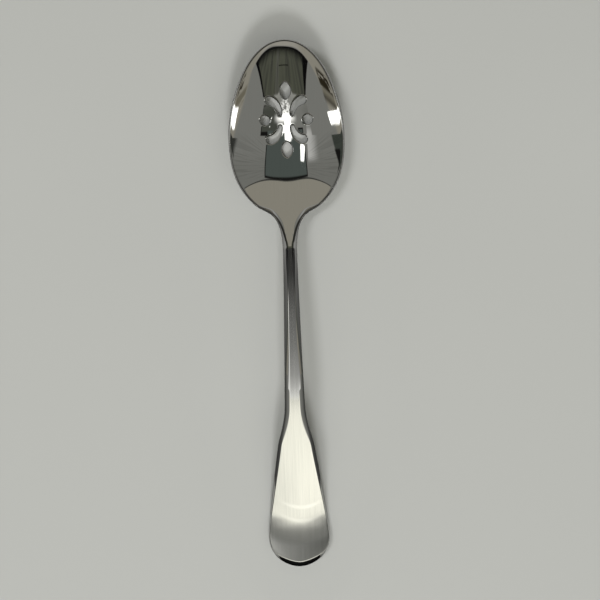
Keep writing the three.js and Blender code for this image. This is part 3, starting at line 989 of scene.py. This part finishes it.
def light_up(sheet, coordinates):
    """Hides a sheet from all but reflections, and gives its tree and its X and Y coordinates."""
    sheet.visible_camera = False
    sheet.visible_diffuse = False
    sheet.visible_shadow = False
    sheet.visible_transmission = False
    glow = bpy.data.materials.new(sheet.name + "_glow")
    glow.use_nodes = True
    tree = glow.node_tree
    tree.nodes.remove(tree.nodes["Principled BSDF"])
    sheet.data.materials.append(glow)
    x, y, _ = separate(tree, places(tree, coordinates))
    return tree, x, y


def hang_sheet(name, left, right, front, back, height):
    """Hangs a flat sheet that only reflections see, and gives its tree and its coordinates."""
    middle = ((left + right) / 2, (front + back) / 2, height)
    bpy.ops.mesh.primitive_plane_add(size=1.0, location=middle)
    sheet = bpy.context.object
    sheet.name = name
    sheet.scale = (right - left, back - front, 1.0)
    bpy.ops.object.transform_apply(location=True, rotation=False, scale=True)
    return light_up(sheet, "Object")


def let_glow(tree, colour, cover=None):
    """Makes a sheet glow in a colour, where the cover is 1, and leaves it clear where it is 0."""
    surface = add_node(tree, "ShaderNodeEmission", Color=colour).outputs["Emission"]
    if cover is not None:
        clear = add_node(tree, "ShaderNodeBsdfTransparent").outputs["BSDF"]
        mix = add_node(tree, "ShaderNodeMixShader", Fac=cover)
        tree.links.new(clear, mix.inputs[1])
        tree.links.new(surface, mix.inputs[2])
        surface = mix.outputs["Shader"]
    tree.links.new(surface, tree.nodes["Material Output"].inputs["Surface"])


def past_slant(tree, side, depth, slant):
    """How far a point lies past a slanted line, given as its place at depth 0 and its slant."""
    line = math_node(tree, "MULTIPLY_ADD", depth, slant[1], slant[0])
    return math_node(tree, "SUBTRACT", side, line)


def patchy(tree, x, y, length_x, length_y, detail):
    """A noise whose patches have a length along X and along Y."""
    vector = combine(
        tree, math_node(tree, "DIVIDE", x, length_x), math_node(tree, "DIVIDE", y, length_y))
    return noise(tree, vector, detail)


tree, x, y = hang_sheet("dark_cloth", -CLOTH_SIDE, CLOTH_SIDE, CLOTH_FRONT, CLOTH_BACK, CLOTH_HEIGHT)
depth = product(tree, y, -1.0)
minus_x = product(tree, x, -1.0)
off_centre = math_node(tree, "ABSOLUTE", x)
past_hem, in_hem = [
    math_node(
        tree, "MAXIMUM", past_slant(tree, x, depth, right), past_slant(tree, minus_x, depth, left))
    for right, left in zip(RIGHT_HEM, LEFT_HEM)]
off_middle = math_node(tree, "SUBTRACT", x, FOOT_MIDDLE)
bow = product(tree, off_middle, off_middle, FOOT_BOW)
past_foot = math_node(tree, "SUBTRACT", math_node(tree, "ADD", depth, bow), FOOT_DEPTH)
folds = patchy(tree, x, y, *FOLDS)
blots = patchy(tree, x, y, *BLOTS)

pale_fold = product(tree, between(tree, x, *PALE_FOLD), step_up(tree, folds, *PALE_FOLD_TOPS))
cloth_light = paint_over(tree, OLIVE_DEEP, OLIVE, step_up(tree, folds, *FOLD_TOPS))
cloth_light = paint_over(tree, cloth_light, OLIVE_PALE, pale_fold)
cloth_light = paint_over(tree, cloth_light, HEM_BLACK, window(tree, x, y, *DASH))
cloth_light = paint_over(tree, cloth_light, HEM_BLACK, step_up(tree, in_hem, *INNER_HEM_EDGE))
cloth_light = paint_over(tree, cloth_light, HEM_BLACK, step_up(tree, past_foot, *FOOT_SHADE))

far_side = step_up(tree, off_centre, *WALL_SIDE)
off_pale = step_up(tree, math_node(tree, "ABSOLUTE", off_middle), *PALE_SIDE)
beside_cloth = product(
    tree, step_down(tree, off_centre, *WALL_SIDE), step_down(tree, past_foot, *WALL_FRONT))
wall_light = paint_over(tree, WALL_GREY, BEIGE, far_side)
wall_light = paint_over(tree, wall_light, PALE_WALL, step_up(tree, past_foot, *PALE_FRONT))
wall_light = paint_over(tree, wall_light, BEIGE, off_pale)
wall_light = paint_over(tree, wall_light, WALL_GREY, beside_cloth)
for *sides, colour in BROWN_SPOTS:
    spot = product(tree, window(tree, x, y, *sides, BROWN_SOFTNESS), step_up(tree, blots, *BLOT_TOPS))
    wall_light = paint_over(tree, wall_light, colour, spot)

past_edge = math_node(
    tree, "MAXIMUM", step_up(tree, past_hem, *HEM_EDGE), step_up(tree, past_foot, *FOOT_EDGE))
off_gap = math_node(
    tree, "MAXIMUM", step_up(tree, off_centre, *GAP_SIDE), step_down(tree, y, *GAP_FRONT))
let_glow(tree, paint_over(tree, cloth_light, wall_light, past_edge), off_gap)


# Black card: it lies low over the stem, which mirrors it as a dark start that grows lighter towards
# the arch. A slit of light along its left part draws the bright line of the stem's left edge, and
# two arms reach back to shade the neck's sides.
CARD_HEIGHT = 0.030
CARD_BACK = -0.038
CARD_FRONT = -0.116
CARD_BODY = (-0.045, 0.045, 2 * CARD_FRONT, CARD_BACK, 0.0003)
ARMS_SIDE = 0.085
ARMS_BACK = -0.024
CARD_ARMS = (0.022, ARMS_SIDE, -0.056, ARMS_BACK, 0.001)
CARD_SHADES = [
    (0.030, 0.036), (0.200, 0.045), (0.276, 0.085), (0.362, 0.120), (0.446, 0.175),
    (0.617, 0.250), (0.795, 0.430), (0.900, 0.620), (0.985, 0.950)]
SLIT = (-0.028, -0.012, 0.001)
SLIT_START = (-0.064, 0.005)
SLIT_LIGHT = (1.3, 1.3, 1.25)
BLUE_SHARE = 0.97


def warm_grey(level):
    """A grey with a little less blue."""
    return (level, level, BLUE_SHARE * level)


def grey_ramp(tree, value, shades):
    """Greys at places between 0 and 1."""
    ramp = add_node(tree, "ShaderNodeValToRGB", Fac=value)
    for _ in shades[2:]:
        ramp.color_ramp.elements.new(1.0)
    for stop, (part, grey) in zip(ramp.color_ramp.elements, shades):
        stop.position = part
        stop.color = (*warm_grey(grey), 1.0)
    return ramp.outputs["Color"]


tree, x, y = hang_sheet("black_card", -ARMS_SIDE, ARMS_SIDE, CARD_FRONT, ARMS_BACK, CARD_HEIGHT)
in_slit = product(tree, between(tree, x, *SLIT), step_down(tree, y, *SLIT_START))
card_light = grey_ramp(tree, remap(tree, y, CARD_BACK, CARD_FRONT), CARD_SHADES)
on_card = math_node(
    tree, "MAXIMUM", window(tree, math_node(tree, "ABSOLUTE", x), y, *CARD_ARMS),
    window(tree, x, y, *CARD_BODY))
let_glow(tree, paint_over(tree, card_light, SLIT_LIGHT, in_slit), on_card)


# End card: a grey card close over the turned-up lip, which mirrors it, lighter on the left and most
# of all in its left corner. Past the lip's rounded edge it is cut away, so that the edge stays bright.
END_CARD_HEIGHT = 0.012
END_CARD_HALF_WIDTH = 0.022
END_CARD_FRONT = -0.192
END_CARD_BACK = -0.158
END_CARD_EDGE = -0.1706
END_CARD_BOW = 26.0
END_CARD_FADE = (0.0, 0.0011)
END_CUT = -0.1782
END_CUT_BOW = 55.0
END_CUT_FADE = (0.0, 0.0004)
LIP_LEFT = (0.375, 0.377, 0.358)
LIP_RIGHT = (0.150, 0.153, 0.142)
LIP_MIDDLE = (0.001, 0.012)
LIP_CORNER = (0.950, 0.950, 0.910)
LIP_CORNER_SLANT = 0.6
LIP_CORNER_EDGE = (0.0108, 0.0040)

tree, x, y = hang_sheet(
    "end_card", -END_CARD_HALF_WIDTH, END_CARD_HALF_WIDTH, END_CARD_FRONT, END_CARD_BACK, END_CARD_HEIGHT)
x_squared = product(tree, x, x)
near_edge = math_node(tree, "MULTIPLY_ADD", x_squared, END_CARD_BOW, END_CARD_EDGE)
far_edge = math_node(tree, "MULTIPLY_ADD", x_squared, END_CUT_BOW, END_CUT)
past_near = step_up(tree, math_node(tree, "SUBTRACT", near_edge, y), *END_CARD_FADE)
before_far = step_up(tree, math_node(tree, "SUBTRACT", y, far_edge), *END_CUT_FADE)
slanted = product(tree, math_node(tree, "SUBTRACT", END_CARD_EDGE, y), LIP_CORNER_SLANT)
in_corner = step_up(tree, math_node(tree, "SUBTRACT", slanted, x), *LIP_CORNER_EDGE)
lip_light = paint_over(tree, LIP_LEFT, LIP_RIGHT, step_up(tree, x, *LIP_MIDDLE))
let_glow(tree, paint_over(tree, lip_light, LIP_CORNER, in_corner), product(tree, past_near, before_far))


# Collar: a low band of card that stands round the spoon. Its steep side walls mirror it: pale beside
# the bowl's rim, grey beside the stem, dark beside the handle's end and black past it.
COLLAR_HALF_WIDTH = 0.046
COLLAR_HALF_LENGTH = 0.130
COLLAR_MIDDLE = -0.070
COLLAR_HEIGHT = 0.0215
COLLAR_FACES = 96
COLLAR_SHADES = [
    (0.135, 0.012), (0.165, 0.090), (0.250, 0.100), (0.330, 0.170), (0.560, 0.180), (0.640, 0.400)]

bpy.ops.mesh.primitive_cylinder_add(
    vertices=COLLAR_FACES, radius=1.0, depth=1.0, end_fill_type="NOTHING",
    location=(0.0, COLLAR_MIDDLE, COLLAR_HEIGHT / 2))
collar = bpy.context.object
collar.name = "collar"
collar.scale = (COLLAR_HALF_WIDTH, COLLAR_HALF_LENGTH, COLLAR_HEIGHT)
bpy.ops.object.transform_apply(location=True, rotation=False, scale=True)
tree, x, y = light_up(collar, "Object")
from_end = remap(tree, y, COLLAR_MIDDLE - COLLAR_HALF_LENGTH, COLLAR_MIDDLE + COLLAR_HALF_LENGTH)
let_glow(tree, grey_ramp(tree, from_end, COLLAR_SHADES))


# Light strips: small lamps above the bowl, which it mirrors as a bright star among the openings with
# a patchy glow over it, one bright spot and the soft glow beside it, a thin glint and a strip along
# each side. Each has corners, height, strength, patches, and soft edges: left, right, low and high.
LIGHT_STRIPS = [
    ("spot_glow", [(-0.126, 0.018), (-0.0755, 0.018), (-0.108, 0.063), (-0.0625, 0.063)],
     0.150, 0.62, False, (0.45, 0.02, 0.14, 0.10)),
    ("star_top", [(-0.024, -0.009), (0.023, -0.009), (-0.024, 0.012), (0.026, 0.012)],
     0.1495, 1.5, True, (0.20, 0.20, 0.20, 0.10)),
    ("star_bar", [(-0.044, 0.007), (0.048, 0.007), (-0.044, 0.020), (0.048, 0.020)],
     0.149, 2.6, False, (0.22, 0.22, 0.24, 0.28)),
    ("star_stem", [(-0.0190, 0.007), (0.0070, 0.007), (-0.0190, 0.040), (0.0070, 0.040)],
     0.148, 4.0, False, (0.14, 0.14, 0.10, 0.12)),
    ("spot", [(-0.0600, 0.0410), (-0.0425, 0.0400), (-0.0500, 0.0595), (-0.0380, 0.0585)],
     0.147, 4.0, False, (0.14, 0.14, 0.08, 0.08)),
    ("glint", [(0.0480, 0.0105), (0.0530, 0.0105), (0.0555, 0.0220), (0.0605, 0.0220)],
     0.147, 3.0, False, (0.20, 0.20, 0.15, 0.15)),
    ("right_strip", [(0.1045, -0.0035), (0.2200, -0.0196), (0.0895, 0.0082), (0.2200, 0.0020)],
     0.065, 3.5, False, (0.01, 0.01, 0.06, 0.12)),
    ("left_strip", [(-0.2000, -0.0103), (-0.0785, 0.0034), (-0.2000, 0.0020), (-0.0762, 0.0086)],
     0.065, 3.5, False, (0.01, 0.01, 0.06, 0.14)),
]
GLOW_PATCHES = (0.20, 0.16, 3.0)
GLOW_PATCH_TOPS = (0.50, 0.10)

for name, corners, height, strength, is_patchy, (left, right, low, high) in LIGHT_STRIPS:
    bpy.ops.mesh.primitive_plane_add(size=1.0)
    strip = bpy.context.object
    strip.name = name
    for vertex, (corner_x, corner_y) in zip(strip.data.vertices, corners):
        vertex.co = (corner_x, corner_y, height)
    tree, across, along = light_up(strip, "UV")
    faded = product(
        tree, step_up(tree, across, left, left), step_up(tree, along, low, low),
        step_down(tree, across, 1.0 - right, right), step_down(tree, along, 1.0 - high, high))
    if is_patchy:
        specks = patchy(tree, across, along, *GLOW_PATCHES)
        faded = product(tree, faded, step_up(tree, specks, *GLOW_PATCH_TOPS))
    let_glow(tree, warm_grey(strength), faded)


# Soft boxes over the table, far enough away to light it evenly: one past the handle's end and one to
# the left. They throw the soft shadows past the bowl's tip and to the right. Metal doesn't show them.
SOFT_BOX_AIM = Vector((0.0, -0.07, 0.0))
SOFT_BOXES = [
    ("front_box", (0.10, -1.86, 1.40), (0.46, 0.36), 24.0),
    ("left_box", (-1.12, -0.07, 2.36), (0.26, 0.80), 19.0),
]
for name, place, size, power in SOFT_BOXES:
    lamp_data = bpy.data.lights.new(name, "AREA")
    lamp_data.shape = "RECTANGLE"
    lamp_data.size, lamp_data.size_y = size
    lamp_data.energy = power
    lamp = bpy.data.objects.new(name, lamp_data)
    bpy.context.collection.objects.link(lamp)
    lamp.location = place
    lamp.rotation_euler = (SOFT_BOX_AIM - Vector(place)).to_track_quat("-Z", "Y").to_euler()
    lamp.visible_glossy = False
